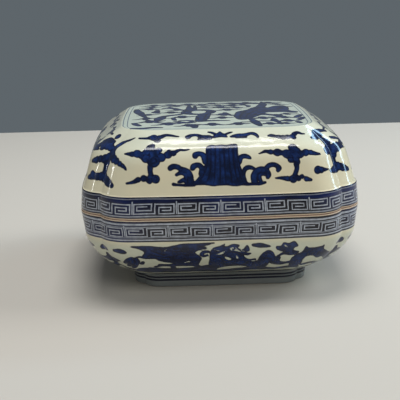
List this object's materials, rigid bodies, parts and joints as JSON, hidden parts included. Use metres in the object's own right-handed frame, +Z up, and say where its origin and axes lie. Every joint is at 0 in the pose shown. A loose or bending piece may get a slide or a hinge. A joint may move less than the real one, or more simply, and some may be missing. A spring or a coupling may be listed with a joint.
{
  "type": "seal paste box",
  "caption": "Square lobed porcelain box for seal paste, with a lift-off domed lid, a footed base with an inner lip, and a cake of red paste.",
  "frame": {"origin": "centre of the foot ring's standing edge, on the surface that the box stands on", "axes": "+Z up, the way the lid lifts; the four sides face along +X, -X, +Y and -Y"},
  "size_m": [0.1426, 0.1426, 0.0834],
  "materials": {
    "lid_porcelain": "glossy clear glaze over cobalt blue painting, bare orange-tan rim",
    "base_porcelain": "glossy clear glaze over cobalt blue painting, bare rim, lip edge and foot edge",
    "seal_paste": "oily vermilion paste, pressed smooth"
  },
  "bodies": {
    "base": {"base": "base_porcelain", "seal_paste": "seal_paste"},
    "lid": {"lid": "lid_porcelain"}
  },
  "joints": [
    {"name": "lid_lift", "type": "slide", "parent": "base", "child": "lid", "axis": [0, 0, 1], "range_m": [0, 0.1]}
  ]
}
